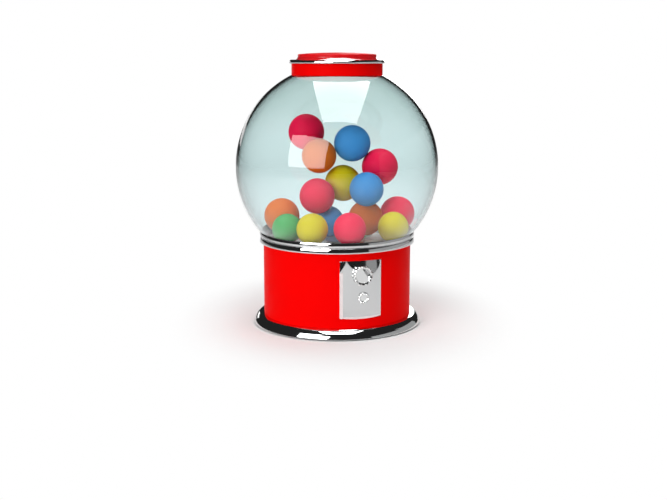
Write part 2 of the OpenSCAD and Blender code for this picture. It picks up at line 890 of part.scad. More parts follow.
module gumballs_blue() {
    heap("blue", candy_blue);
}

module gumballs_orange() {
    heap("orange", candy_orange);
}

module gumballs_yellow() {
    heap("yellow", candy_yellow);
}

module gumball_green() {
    heap("green", candy_green);
}

module pocket_gumball_red() {
    color(candy_red) pocket_ball(-360 / pockets);
}

module pocket_gumball_green() {
    color(candy_green) pocket_ball(360 / pockets);
}

base_ring();
foot_ring();
base_plate();
base_screws();
frame_screws();
body_shell();
body_top_ring();
globe_seat_ring();
globe_gasket();
globe();
neck_collar();
hopper();
ball_guard();
mechanism_frame();
chute();
outlet_frame();
hinge_pin();
wheel_axle();
axle_nut();
gumballs_red();
gumballs_blue();
gumballs_orange();
gumballs_yellow();
gumball_green();
dispensing_wheel();
crown_gear();
stirrer();
pocket_gumball_red();
pocket_gumball_green();
drive_shaft();
pinion();
front_plate();
knob_bush();
door_pull();
knob();
knob_spindle();
knob_clip();
lid_cap();
lid_brim();
lid_plug();
lid_gasket();
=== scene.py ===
# %% [markdown]
# The object is a small desktop gumball machine: a red sheet-metal body on a
# bright flared foot, a glass globe that sits in two bright rings, and a red
# lid. Its construction comes in as a frame of solids, and this lesson dresses
# the frame. The frame is in metres, with the table at height zero and the
# front plate facing -Y. The outlines below are in millimetres.

# %% Load the frame
import bpy
import numpy as np
from mathutils import Matrix, Vector


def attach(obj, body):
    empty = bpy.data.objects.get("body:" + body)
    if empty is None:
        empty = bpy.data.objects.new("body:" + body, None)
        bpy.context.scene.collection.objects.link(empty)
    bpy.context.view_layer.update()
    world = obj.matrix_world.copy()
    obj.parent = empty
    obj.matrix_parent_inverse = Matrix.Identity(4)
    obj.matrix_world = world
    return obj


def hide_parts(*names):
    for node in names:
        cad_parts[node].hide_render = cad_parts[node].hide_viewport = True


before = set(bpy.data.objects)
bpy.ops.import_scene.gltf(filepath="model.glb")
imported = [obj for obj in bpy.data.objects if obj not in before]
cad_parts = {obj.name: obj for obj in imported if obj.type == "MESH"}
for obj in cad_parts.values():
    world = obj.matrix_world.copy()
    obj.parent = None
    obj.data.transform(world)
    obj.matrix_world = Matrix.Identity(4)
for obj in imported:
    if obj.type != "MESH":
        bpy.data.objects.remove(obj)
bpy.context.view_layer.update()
MM = 0.001

# %% [markdown]
# The camera stands in front and a little to the left, and looks down by about
# ten degrees. It could be aimed with a constraint, but a plain matrix made of
# its right, up and back directions gives the same view on every run.

# %% Camera
CAMERA_TURN = np.radians(18.4)
CAMERA_DOWN = np.radians(10.57)
CAMERA_PLACE = Vector((-0.2340, -0.6958, 0.1873))
RIGHT = Vector((np.cos(CAMERA_TURN), -np.sin(CAMERA_TURN), 0))
TOWARDS = Vector((-np.sin(CAMERA_TURN), -np.cos(CAMERA_TURN), 0))
BACK = TOWARDS * np.cos(CAMERA_DOWN) + Vector((0, 0, np.sin(CAMERA_DOWN)))


def standing(place, right, back):
    """Matrix of a camera or lamp at a place, from its right and back directions."""
    turn = Matrix((right, back.cross(right), back)).transposed()
    return Matrix.Translation(place) @ turn.to_4x4()


lens = bpy.data.cameras.new("camera")
lens.lens = 57.28
lens.sensor_width = 36
lens.clip_start = 0.01
camera = bpy.data.objects.new("camera", lens)
camera.matrix_world = standing(CAMERA_PLACE, RIGHT, BACK)
bpy.context.scene.collection.objects.link(camera)
bpy.context.scene.camera = camera
print("camera looks along", [round(-v, 3) for v in BACK])

# %% [markdown]
# A finish is a node tree. Writing its maths as Python expressions keeps it
# readable, so a socket is wrapped in a small class whose operators add Math
# nodes.


# %% Numbers in a node tree
class Value:
    """A number socket. An expression on it adds the Math nodes that work it out."""

    def __init__(self, tree, socket):
        self.tree, self.socket = tree, socket

    def math(self, operation, *others):
        """A Math node on this number and the others, in that order."""
        sockets = dict(enumerate((self, *others)))
        return self.tree.add("ShaderNodeMath", {"operation": operation}, sockets)

    def __add__(self, other):
        return self.math("ADD", other)

    def __mul__(self, other):
        return self.math("MULTIPLY", other)

    def __rsub__(self, other):
        return (self * -1) + other

    __radd__, __rmul__ = __add__, __mul__

    def or_else(self, other):
        """The larger of two numbers, so 1 where either mask is 1."""
        return self.math("MAXIMUM", other)

    def above(self, low, high):
        """0 below low, 1 above high, and a smooth ramp between them."""
        return self.tree.add("ShaderNodeMapRange", {"interpolation_type": "SMOOTHSTEP"},
                             {"Value": self, "From Min": low, "From Max": high}, "Result")

    def below(self, low, high):
        """1 below low, 0 above high, and a smooth ramp between them."""
        return (self * -1).above(-high, -low)


print("numbers in a tree can be added, multiplied, taken from a number and compared")

# %% [markdown]
# Every other kind of node comes from one method, which takes the node's kind,
# its settings and what its sockets get. The tree class adds the few groups of
# nodes that many finishes share, and the finish class holds the one shader.


# %% Trees and finishes
def rgba(red, green, blue):
    """An opaque colour."""
    return (red, green, blue, 1.0)


class Tree:
    """A node tree, with one method that adds nodes and a few that add the common ones."""

    def __init__(self, tree):
        self.tree = tree

    def add(self, kind, settings=None, sockets=None, out=0):
        """A node of this kind: its settings first, then values or links, and its output socket."""
        node = self.tree.nodes.new(kind)
        for name, value in (settings or {}).items():
            setattr(node, name, value)
        for name, value in (sockets or {}).items():
            self.link(node.inputs[name], value)
        return Value(self, node.outputs[out])

    def link(self, socket, value):
        """Gives a socket another node's output, or a constant."""
        if isinstance(value, Value):
            self.tree.links.new(value.socket, socket)
        else:
            socket.default_value = value

    def place(self):
        """The object coordinates in metres, from the machine's axis and the table."""
        return self.add("ShaderNodeTexCoord", out="Object")

    def part(self, axis):
        """The object coordinate along X, Y or Z, in metres."""
        return self.add("ShaderNodeSeparateXYZ", {}, {0: self.place()}, axis)

    def light(self, fact):
        """A fact about the light ray, such as Is Camera Ray: 1 where it is true."""
        return self.add("ShaderNodeLightPath", out=fact)

    def seen(self):
        """1 for camera rays, also through glass, unless something has mirrored them on the way."""
        straight = 1 - self.light("Glossy Depth").above(0.4, 0.6)
        return self.light("Is Camera Ray").or_else(self.light("Is Transmission Ray")) * straight

    def noise(self, scale, detail=2.0, stretch=None):
        """Smooth noise from 0 to 1. scale is in cells a metre; stretch makes streaks."""
        spot = self.place()
        if stretch:
            spot = self.add("ShaderNodeMapping", {}, {"Vector": spot, "Scale": stretch})
        return self.add("ShaderNodeTexNoise", {}, {"Vector": spot, "Scale": scale,
                                                   "Detail": detail}, "Fac")

    def mix(self, factor, first, second):
        """Colour between first, at factor 0, and second, at factor 1."""
        return self.add("ShaderNodeMix", {"data_type": "RGBA"},
                        {0: factor, 6: first, 7: second}, 2)

    def shaded(self, factor, colour, share):
        """A colour that darkens to this share of itself as factor goes from 0 to 1."""
        return self.mix(factor, rgba(*colour), rgba(*[c * share for c in colour]))


class Finish(Tree):
    """A material with one Principled shader, whose constants are set on its own sockets."""

    def __init__(self, name, **constants):
        self.material = bpy.data.materials.new(name)
        self.material.use_nodes = True
        super().__init__(self.material.node_tree)
        self.shader = self.tree.nodes["Principled BSDF"]
        self.output = self.tree.nodes["Material Output"]
        for socket, value in constants.items():
            self.shader.inputs[socket.replace("_", " ")].default_value = value

    def drive(self, name, value):
        """Gives one of the shader's sockets a link or a constant."""
        self.link(self.shader.inputs[name], value)

    def bump(self, height, depth):
        """Shading relief of a height from 0 to 1, depth metres deep."""
        self.drive("Normal", self.add("ShaderNodeBump", {}, {"Distance": depth, "Height": height}))

    def swap(self, factor, other):
        """Shows another shader in place of this one where factor is 1."""
        own = Value(self, self.shader.outputs[0])
        self.link(self.output.inputs["Surface"],
                  self.add("ShaderNodeMixShader", {}, {0: factor, 1: own, 2: other}))


print("trees and finishes ready")

# %% [markdown]
# The paint is a glossy red enamel on sheet metal. Real enamel is not one flat
# colour: it has a faint unevenness, a slight orange peel and a softer gloss
# where hands have rubbed it. The cap's flange has a thicker, glossier coat. The
# collar and the cap wear darker copies of the body's red, as painted shade.


# %% Paint
def paint(name, colour, rough, gloss):
    """Enamel: a colour that varies by a few percent, orange peel, and a gloss of its own."""
    finish = Finish(name, Specular_IOR_Level=gloss)
    patch = finish.noise(30, 3)
    finish.drive("Base Color", finish.shaded(patch, colour, 0.95))
    finish.drive("Roughness", patch * 0.1 + rough)
    finish.bump(finish.noise(900, 1), 0.00002)
    return finish.material


def glossy_below(name, colour, height):
    """Enamel with a thick gloss coat, but only on the flange below a height in metres."""
    finish = Finish(name, Roughness=0.35, Specular_IOR_Level=0.05,
                    Coat_IOR=2.3, Coat_Roughness=0.06)
    finish.drive("Base Color", finish.shaded(finish.noise(30, 3), colour, 0.95))
    finish.drive("Coat Weight", finish.part("Z").below(height - 0.0001, height + 0.0001))
    finish.bump(finish.noise(900, 1), 0.00001)
    return finish.material


FINISHES = {
    "body_red": paint("red_enamel", (0.985, 0.001, 0.001), 0.3, 0.008),
    # Painted shade: the collar wears a darker copy of the body's red.
    "collar_red": paint("collar_enamel_painted_shade", (0.86, 0.001, 0.001), 0.3, 0.008),
    # Painted shade: the cap wears a darker red still.
    "cap_red": glossy_below("cap_enamel_painted_shade", (0.62, 0.008, 0.012), 0.1838),
}
print("paints:", list(FINISHES))

# %% [markdown]
# Plated parts are polished before plating, so they mirror the room with only a
# faint cloudiness and hairline rubs. The front plate has a painted highlight, a
# pale pink line of satin roughness, along its edges. Parts that nobody sees are
# left as the lathe made them.


# %% Bright and plain metal
def bright_metal(name, colour, rough, share=0.88):
    """Polished plating: faint cloudiness in colour and roughness, and hairline rub marks."""
    finish = Finish(name, Metallic=1.0)
    cloud = finish.noise(60, 3)
    rubs = finish.noise(400, 2, (1, 1, 12))
    finish.drive("Base Color", finish.shaded(cloud, colour, share))
    finish.drive("Roughness", cloud * 0.02 + rubs * 0.02 + rough)
    finish.bump(rubs, 0.000002)
    return finish.material


EDGE_HIGHLIGHT_LEFT, EDGE_HIGHLIGHT_RIGHT, EDGE_HIGHLIGHT_LOW, EDGE_HIGHLIGHT_TOP = -0.0127, 0.0135, 0.0144, 0.0440


def metal_with_edge_highlight(name, colour, rough):
    """Polished sheet with a painted highlight, a pale pink satin line, along its lower edge and
    its two sides.
    """
    finish = Finish(name, Metallic=1.0)
    x, z = finish.part("X"), finish.part("Z")
    edge_highlight = x.below(EDGE_HIGHLIGHT_LEFT, EDGE_HIGHLIGHT_LEFT + 0.00015) * z.below(EDGE_HIGHLIGHT_TOP, EDGE_HIGHLIGHT_TOP + 0.001)
    edge_highlight = edge_highlight.or_else(x.above(EDGE_HIGHLIGHT_RIGHT, EDGE_HIGHLIGHT_RIGHT + 0.00015))
    edge_highlight = edge_highlight.or_else(z.below(EDGE_HIGHLIGHT_LOW, EDGE_HIGHLIGHT_LOW + 0.0002))
    cloud = finish.noise(60, 3)
    metal = finish.shaded(cloud, colour, 0.96)
    # Painted highlight: the edge line is coloured a pale pink, not the metal's own colour.
    finish.drive("Base Color", finish.mix(edge_highlight, metal, rgba(0.98, 0.88, 0.88)))
    finish.drive("Roughness", edge_highlight * 0.35 + (cloud * 0.02 + rough))
    finish.bump(finish.noise(400, 2, (1, 1, 12)), 0.000002)
    return finish.material


def turned_metal(name, colour, rough):
    """Machined metal: fine rings from the tool and a mild unevenness."""
    finish = Finish(name, Metallic=1.0)
    rings = finish.noise(500, 2, (0.3, 0.3, 6))
    finish.drive("Base Color", finish.shaded(rings, colour, 0.8))
    finish.drive("Roughness", rings * 0.15 + rough)
    finish.bump(rings, 0.00001)
    return finish.material


FINISHES.update({
    "foot_chrome": bright_metal("foot_plating", (0.80, 0.82, 0.82), 0.03),
    "ring_chrome": bright_metal("ring_plating", (0.80, 0.81, 0.82), 0.03),
    "knob_chrome": bright_metal("knob_plating", (0.76, 0.77, 0.77), 0.04, 0.95),
    "plate_chrome": metal_with_edge_highlight("plate_plating", (0.65, 0.66, 0.665), 0.05),
    "plain_steel": turned_metal("plain_steel", (0.55, 0.56, 0.58), 0.28),
    "gear_brass": turned_metal("gear_brass", (0.78, 0.58, 0.26), 0.25),
})
print("paint and metal finishes:", len(FINISHES))

# %% [markdown]
# Moulded plastic and rubber have a fine texture from the mould. The gumballs
# have a satin sugar shell, a little paler where the sugar is thick.


# %% Plastic, rubber and candy
def moulded(name, colour, rough, grain):
    """Moulded plastic or rubber: mild colour drift and the mould's fine grain."""
    finish = Finish(name)
    drift = finish.noise(40, 2)
    finish.drive("Base Color", finish.shaded(drift, colour, 0.9))
    finish.drive("Roughness", drift * 0.1 + rough)
    finish.bump(finish.noise(2500, 1), grain)
    return finish.material


def candy(name, colour):
    """Sugar shell: a clear colour with paler clouds, faint specks and a satin surface."""
    finish = Finish(name, Specular_IOR_Level=0.06)
    cloud = finish.noise(110, 4)
    speck = finish.noise(1500, 1).above(0.62, 0.8)
    pale = [c + (0.9 - c) * 0.006 for c in colour]
    base = finish.mix(cloud, rgba(*colour), rgba(*pale))
    finish.drive("Base Color", finish.mix(speck * 0.02, base, rgba(0.9, 0.88, 0.85)))
    finish.drive("Roughness", cloud * 0.15 + 0.42)
    finish.bump(finish.noise(700, 2), 0.00004)
    return finish.material


FINISHES.update({
    "foot_rubber": moulded("foot_rubber", (0.03, 0.03, 0.03), 0.7, 0.00003),
    "white_plastic": moulded("white_plastic", (0.80, 0.80, 0.77), 0.4, 0.00001),
    "hopper_plastic": moulded("hopper_plastic", (0.30, 0.30, 0.28), 0.4, 0.00001),
    "grey_plastic": moulded("grey_plastic", (0.32, 0.35, 0.35), 0.4, 0.00001),
    "candy_red": candy("candy_red", (0.99, 0.008, 0.075)),
    "candy_blue": candy("candy_blue", (0.065, 0.31, 0.72)),
    "candy_orange": candy("candy_orange", (0.84, 0.175, 0.014)),
    "candy_yellow": candy("candy_yellow", (0.74, 0.58, 0.003)),
    "candy_green": candy("candy_green", (0.06, 0.40, 0.10)),
})
print("finishes:", len(FINISHES))

# %% [markdown]
# The globe is pressed glass about 1.6 mm thick, with a faint green-blue cast
# that shows where it stands in front of white. Its colour turns deeper towards
# the neck, and paler low down, where the paleness is a painted reflection of the
# pale floor. A shader that bends light needs caustics to light what is inside,
# which is slow and noisy. So lamp rays and soft light pass straight through,
# and only the camera and mirror-like rays meet the glass.

# %% Glass
TOP_TINT = rgba(0.76, 0.88, 0.87)
TINTS = rgba(0.808, 0.921, 0.921), rgba(0.822, 0.928, 0.928)
FLOOR_REFLECTION_TINT = rgba(0.88, 0.975, 0.985)
glass = Finish("globe_glass", Transmission_Weight=1.0, IOR=1.5)
smear = glass.noise(25, 3)
tint = glass.mix(glass.part("Z").above(0.13, 0.16), glass.mix(smear, *TINTS), TOP_TINT)
# Painted reflection: below the globe's middle the glass turns paler, standing in for the floor
# mirrored in it.
glass.drive("Base Color", glass.mix(glass.part("Z").above(0.075, 0.115), FLOOR_REFLECTION_TINT, tint))
glass.drive("Roughness", smear.above(0.45, 1.0) * 0.01)
glass.swap(glass.light("Is Shadow Ray").or_else(glass.light("Is Diffuse Ray")),
           glass.add("ShaderNodeBsdfTransparent", {}, {"Color": rgba(0.98, 0.99, 0.99)}))
FINISHES["globe_glass"] = glass.material
for name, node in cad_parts.items():
    slot_name = node.data.materials[0].name.split(".")[0]
    node.data.materials[0] = FINISHES["hopper_plastic" if name == "hopper" else slot_name]
print("every solid has its finish:", len(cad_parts))

# %% [markdown]
# Most visible pieces are turned shapes. Each is a half outline, worked out
# once with rounded corners and then carried round the axis as one array of
# points. The solids have the same shapes with sharper corners, but bright
# metal lives from the highlights on its rounded edges.


# %% Outlines
def rounded(corners, closed=True, step=9.0):
    """Half outline through (radius, height, rounding) corners, in millimetres.

    At each corner the two straight lines are joined by an arc of that rounding,
    which touches both: it starts at rounding x tan(turn / 2) from the corner.
    """
    count = len(corners)
    made = []
    for i, (r, z, size) in enumerate(corners):
        here = np.array([r, z], float)
        if size == 0 or (not closed and i in (0, count - 1)):
            made.append(here[None])
            continue
        before = here - np.array(corners[i - 1][:2], float)
        after = np.array(corners[(i + 1) % count][:2], float) - here
        before, after = before / np.hypot(*before), after / np.hypot(*after)
        turn = np.arctan2(before[0] * after[1] - before[1] * after[0], before @ after)
        reach = size * np.tan(abs(turn) / 2)
        steps = max(2, int(np.ceil(abs(np.degrees(turn)) / step)))
        side = np.sign(turn) * np.array([-before[1], before[0]])
        centre = here - before * reach + side * size
        angles = np.linspace(0, turn, steps + 1)
        spoke = -side * size
        made.append(centre + np.stack([
            spoke[0] * np.cos(angles) - spoke[1] * np.sin(angles),
            spoke[0] * np.sin(angles) + spoke[1] * np.cos(angles)], 1))
    return np.concatenate(made)


def arc(centre_r, centre_z, radius, start, end, count):
    """Points of a circle from one angle to another, in degrees from the outward direction."""
    turn = np.radians(np.linspace(start, end, count))
    return np.stack([centre_r + radius * np.cos(turn), centre_z + radius * np.sin(turn)], 1)


def bowed(start, end, first_slope, last_slope, count):
    """Arc between two points whose downward slope goes from one angle to the other, in degrees.

    The steps follow cos(slope) outwards and sin(slope) downwards, and their sum
    is scaled on each axis to end on the given point.
    """
    slope = np.radians(np.linspace(first_slope, last_slope, count))
    steps = np.cumsum(np.stack([np.cos(slope), -np.sin(slope)], 1), 0)
    steps = np.concatenate([[[0, 0]], steps])
    return np.array(start) + steps / steps[-1] * (np.array(end) - np.array(start))


corner = rounded([(0, 0, 0), (9, 0, 1), (9, 9, 0)], False)
print("a rounded square corner has", len(corner), "points")

# %% [markdown]
# A surface is a grid of points. Its faces and its shading normals come from
# the grid itself, which keeps rolled edges smooth with few points. A modifier
# could round the edges too, but a grid gives each point exactly one place.


# %% Surfaces
def turn_outline(outline, around=160, squeeze=None):
    """Grid of points: the outline (radius, height) carried round the axis.

    x = radius cos(angle), y = radius sin(angle), z = height. squeeze, if given,
    takes the radius, height and angle and returns a changed radius and height.
    """
    angle = np.linspace(0, 2 * np.pi, around, endpoint=False)
    radius = np.repeat(outline[:, :1], around, 1)
    height = np.repeat(outline[:, 1:], around, 1)
    if squeeze is not None:
        radius, height = squeeze(radius, height, angle[None])
    return np.stack([radius * np.cos(angle), radius * np.sin(angle), height], 2)


def surface(grid, closed=True):
    """Points, faces and normals of a grid that is closed along its columns.

    Rows close on themselves too, unless closed is false: then the first and the
    last row lie on the axis, and each becomes one pole with a fan of triangles.
    A normal is the cross product of the grid's two central differences.
    """
    rows, columns = grid.shape[:2]
    along = np.roll(grid, -1, 0) - np.roll(grid, 1, 0)
    if not closed:
        along[0], along[-1] = grid[1] - grid[0], grid[-1] - grid[-2]
    across = np.roll(grid, -1, 1) - np.roll(grid, 1, 1)
    normals = np.cross(across, along)
    if closed:
        low = np.arange(rows * columns).reshape(rows, columns)
        high, fans, points = np.roll(low, -1, 0), [], grid.reshape(-1, 3)
    else:
        index = np.arange((rows - 2) * columns).reshape(rows - 2, columns)
        low, high, first, last = index[:-1], index[1:], index[0], index[-1]
        pole = np.full(columns, index.size)
        fans = np.concatenate([np.stack([pole, np.roll(first, -1), first], 1),
                               np.stack([pole + 1, last, np.roll(last, -1)], 1)]).tolist()
        points = np.concatenate([grid[1:-1].reshape(-1, 3), grid[[0, -1], 0]])
        normals = np.concatenate([normals[1:-1].reshape(-1, 3), [
            np.cross(across[1], along[0]).sum(0), np.cross(across[-2], along[-1]).sum(0)]])
    quads = np.stack([low, np.roll(low, -1, 1), np.roll(high, -1, 1), high], 2).reshape(-1, 4)
    normals = normals.reshape(-1, 3)
    size = np.linalg.norm(normals, axis=1, keepdims=True)
    return points, quads.tolist() + fans, normals / np.where(size > 0, size, 1)


def joined(*parts):
    """Several (points, faces, normals) sets as one."""
    points, faces, normals, start = [], [], [], 0
    for part_points, part_faces, part_normals in parts:
        points.append(part_points)
        normals.append(part_normals)
        faces += [[v + start for v in face] for face in part_faces]
        start += len(part_points)
    return np.concatenate(points), faces, np.concatenate(normals)


print("a turned square bar has", len(surface(turn_outline(
    rounded([(8, 0, 1), (9, 0, 1), (9, 9, 1), (8, 9, 1)])))[1]), "faces")

# %% [markdown]
# A finished piece rides on the body it moves with, wears the finish of its slot
# in the construction unless another finish is named, and hides the solid it
# stands for. Its object stays at the origin, and its mesh holds its place.


# %% Pieces
def piece(name, shape, body, slot, node, finish=None):
    """A finished object from points in millimetres.

    It rides on body, wears slot's finish or the finish named, and stands for node.
    """
    points, faces, normals = shape
    mesh = bpy.data.meshes.new(name)
    mesh.from_pydata((points * MM).tolist(), [], faces)
    mesh.polygons.foreach_set("use_smooth", np.ones(len(mesh.polygons), bool))
    mesh.normals_split_custom_set_from_vertices(normals.tolist())
    mesh.materials.append(FINISHES[finish or slot])
    made = bpy.data.objects.new(name, mesh)
    bpy.context.scene.collection.objects.link(made)
    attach(made, body)
    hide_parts(node)
    low, high = points.min(0).round(1), points.max(0).round(1)
    print(f"{name}: {len(mesh.polygons)} faces, {low.tolist()} to {high.tolist()} mm")


print("pieces are made in millimetres, at", MM, "m each")

# %% [markdown]
# The globe is one wall of glass: the outline runs up the outside of the sphere
# and the neck, over the lip, and back down the inside. The bottom edge is
# ground flat, where it stands on its gasket.

# %% Globe
GLOBE_R, GLOBE_Z, GLASS_T = 69.85, 109.4, 1.6
GLASS_BOTTOM, NECK_R, NECK_TOP = 60.7, 29.1, 179.0


def at_height(radius, height):
    """Angle in degrees at which a circle round the globe's centre reaches a height."""
    return np.degrees(np.arcsin((height - GLOBE_Z) / radius))


def at_radius(radius, across):
    """Angle in degrees at which the upper part of such a circle comes in to a radius."""
    return np.degrees(np.arccos(across / radius))


inner_r, inner_neck = GLOBE_R - GLASS_T, NECK_R - GLASS_T
outside = arc(0, GLOBE_Z, GLOBE_R, at_height(GLOBE_R, GLASS_BOTTOM + 0.1),
              at_radius(GLOBE_R, NECK_R + 0.6), 120)
lip = rounded([(NECK_R, NECK_TOP - 8, 0), (NECK_R, NECK_TOP, 0.6),
               (inner_neck, NECK_TOP, 0.6), (inner_neck, NECK_TOP - 8, 0)], False)
inside = arc(0, GLOBE_Z, inner_r, at_radius(inner_r, inner_neck + 0.2),
             at_height(inner_r, GLASS_BOTTOM + 0.1), 120)
ground = rounded([(*inside[-1], 0), (inside[-1][0] + 0.1, GLASS_BOTTOM, 0.05),
                  (outside[0][0] - 0.1, GLASS_BOTTOM, 0.05), (*outside[0], 0)], False)
globe_outline = np.concatenate([outside, lip, inside, ground[1:-1]])
piece("globe_glass", surface(turn_outline(globe_outline, 256)), "machine", "globe_glass", "globe")

# %% [markdown]
# The red pieces are the pressed collar round the glass neck and the lid's cap.
# Their corners are rolled sheet, so they are rounded, not sharp. The cap ends
# below in a narrow concave flange, which rests on the bright brim.

# %% Collar and cap
COLLAR_R, COLLAR_LOW, COLLAR_TOP = 31.1, 171.35, 179.6
CAP_R, CAP_TOP, FLANGE_R, FLANGE_LOW = 26.75, 187.0, 28.05, 182.15

collar = rounded([
    (NECK_R + 0.05, COLLAR_LOW + 1.5, 0.1), (NECK_R + 0.8, COLLAR_LOW, 0.2),
    (COLLAR_R, COLLAR_LOW, 0.9), (COLLAR_R, COLLAR_TOP, 0.25), (NECK_R + 0.05, COLLAR_TOP, 0.1)])
piece("neck_collar_red", surface(turn_outline(collar)), "machine", "body_red", "neck_collar",
      "collar_red")
flange_edge = FLANGE_LOW + 0.1
cap = np.concatenate([
    rounded([(0, FLANGE_LOW, 0), (FLANGE_R, FLANGE_LOW, 0.02), (FLANGE_R, flange_edge, 0)], False),
    bowed((CAP_R, FLANGE_LOW + 1.9), (FLANGE_R, flange_edge), 78, 30, 16)[-2::-1],
    rounded([(CAP_R, FLANGE_LOW + 1.95, 0), (CAP_R, CAP_TOP - 1.2, 0.7),
             (20, CAP_TOP - 0.62, 60), (10, CAP_TOP - 0.2, 60), (0, CAP_TOP, 0)], False)])
piece("cap_red", surface(turn_outline(cap), False), "lid", "body_red", "lid_cap", "cap_red")

# %% [markdown]
# The brim is turned brass, plated. Its rim is round below and steep above, so
# that it shows a thin bright line between two dark ones.

# %% Brim
BRIM_R, BRIM_IN, RIM_R = 32.5, 24, 0.9
brim_low, rim_top = COLLAR_TOP + 0.05, COLLAR_TOP + 2.53
brim = np.concatenate([
    rounded([(BRIM_IN, FLANGE_LOW - 0.05, 0), (BRIM_IN, brim_low, 0.05),
             (BRIM_R - RIM_R, brim_low, 0)], False),
    arc(BRIM_R - RIM_R, COLLAR_TOP + 0.95, RIM_R, -85, 0, 12),
    bowed((BRIM_R - 0.6, COLLAR_TOP + 2.35), (BRIM_R, COLLAR_TOP + 1.0), 61, 84, 14)[-2::-1],
    [[BRIM_R - 0.62, COLLAR_TOP + 2.36], [BRIM_R - 1.4, rim_top], [BRIM_R - 1.42, rim_top]],
    rounded([(FLANGE_R, FLANGE_LOW, 0), (BRIM_IN + 1, FLANGE_LOW - 0.02, 0)], False)])
piece("brim_bright", surface(turn_outline(brim, 200)), "lid", "ring_chrome", "lid_brim")

# %% [markdown]
# Under the globe are two bright rings with a groove between them. Each ring's
# face leans back in three bands, each one more than the band below it, so that
# each mirrors another part of the room: the floor, the dark, and a lamp.

# %% Rings
RING_R, GROOVE_R, STEP_R, SEAT_R = 53.9, 51.9, 51.4, 50.1
LOWER_LOW, LOWER_TOP, UPPER_LOW, UPPER_TOP = 57.3, 61.0, 62.0, 64.9
SPIGOT_R, SPIGOT_LOW, BODY_R, BODY_TOP = 49.3, 55.5, 51.45, 58.1
WEB_R, WEB_END, WEB_LOW, WEB_TOP = 47.9, 45.4, 56.0, 57.2
STEP_Z, LEDGE_Z = 60.7, 60.1
LIP_R = 0.3


def lipped(bottom, top_r, top):
    """A ring's outer face from its bottom: a small rolled lip, three bands and a rounded top.

    The bands take 0.2, 0.3 and 0.5 of the face's height, and lean back by 2,
    7.5 and 18 degrees on average.
    """
    low = bottom + LIP_R
    rise = top - bottom - 0.65
    ends = [(RING_R - inward * rise, low + upward * rise)
            for inward, upward in ((0, 0), (0.007, 0.2), (0.047, 0.5), (0.21, 1))]
    return np.concatenate([
        arc(RING_R - LIP_R, low, LIP_R, -88, 0, 8),
        bowed(ends[0], ends[1], 270, 266, 4)[1:],
        bowed(ends[1], ends[2], 264, 261, 5)[1:],
        bowed(ends[2], ends[3], 261, 242, 10)[1:],
        bowed(ends[3], (top_r, top), 235, 184, 10)[1:]])


lower = np.concatenate([
    rounded([(WEB_R, SPIGOT_LOW, 0.1), (SPIGOT_R, SPIGOT_LOW, 0.1), (SPIGOT_R, BODY_TOP, 0.05),
             (BODY_R, BODY_TOP, 0.05), (BODY_R, LOWER_LOW, 0.05), (RING_R - 0.4, LOWER_LOW, 0)],
            False),
    lipped(LOWER_LOW, RING_R - 2.0, LOWER_TOP),
    rounded([(STEP_R, LOWER_TOP, 0), (STEP_R, STEP_Z, 0.05), (SEAT_R + 0.1, STEP_Z, 0.1),
             (SEAT_R + 0.1, LEDGE_Z, 0.1), (WEB_R, LEDGE_Z, 0.1)], False),
    rounded([(WEB_R, WEB_TOP, 0), (WEB_END, WEB_TOP, 0.2), (WEB_END, WEB_LOW, 0.2),
             (WEB_R, WEB_LOW, 0)], False)])
piece("lower_ring_bright", surface(turn_outline(lower, 256)),
      "machine", "ring_chrome", "body_top_ring")
seat = arc(0, GLOBE_Z, GLOBE_R + 0.05, at_height(GLOBE_R, 64.8), at_height(GLOBE_R, 60.8), 8)
upper = np.concatenate([
    rounded([(STEP_R, STEP_Z + 0.05, 0), (STEP_R, LOWER_TOP + 0.02, 0.02),
             (GROOVE_R, LOWER_TOP + 0.02, 0.02), (GROOVE_R, UPPER_LOW, 0.1),
             (RING_R - 0.4, UPPER_LOW, 0)], False),
    lipped(UPPER_LOW, RING_R - 1.6, UPPER_TOP), seat])
piece("upper_ring_bright", surface(turn_outline(upper, 256)),
      "machine", "ring_chrome", "globe_seat_ring")

# %% [markdown]
# At the bottom is a bright foot: a narrow flat shelf next to the body, then a
# skirt that falls at about 45 degrees, and a steeper side. The shelf mirrors
# the red body, the skirt what hangs overhead and the side what stands in front.

# %% Foot
FOOT_R, FOOT_LOW, FOOT_TOP = 58.9, 0.7, 7.0
SHELF_R, SHELF_EDGE_Z, SKIRT_R, SKIRT_LOW = 54.75, 6.7, 57.7, 3.9
TUBE_R, HOLE_R, FLOOR_LOW, FLOOR_TOP, FLOOR_OUT = 51.2, 43, 2.2, 5.0, 49.3
TREAD_IN, TREAD_OUT, TREAD_Z = 50.4, 55, 1.7

foot_outline = np.concatenate([
    rounded([(HOLE_R, FLOOR_LOW, 0.2), (FLOOR_OUT, FLOOR_LOW, 0.1), (FLOOR_OUT, FOOT_LOW, 0.2),
             (TREAD_IN, FOOT_LOW, 0.1), (TREAD_IN, TREAD_Z, 0.1), (TREAD_OUT, TREAD_Z, 0.1),
             (TREAD_OUT, FOOT_LOW, 0.1), (FOOT_R - 0.25, FOOT_LOW, 0)], False),
    arc(FOOT_R - 0.25, FOOT_LOW + 0.25, 0.25, -80, 10, 8),
    bowed((SKIRT_R + 0.1, SKIRT_LOW - 0.2), (FOOT_R - 0.02, 1.1), 63, 81, 14)[::-1],
    bowed((SHELF_R, SHELF_EDGE_Z), (SKIRT_R, SKIRT_LOW), 27, 56, 20)[::-1],
    bowed((TUBE_R + 0.25, FOOT_TOP), (SHELF_R - 0.01, SHELF_EDGE_Z + 0.002), 1, 10, 12)[::-1],
    rounded([(TUBE_R + 0.2, FOOT_TOP, 0), (TUBE_R, FOOT_TOP, 0.1), (TUBE_R, FLOOR_TOP, 0.1),
             (HOLE_R, FLOOR_TOP, 0.3)], False)])
piece("foot_bright", surface(turn_outline(foot_outline, 320)),
      "machine", "foot_chrome", "base_ring")

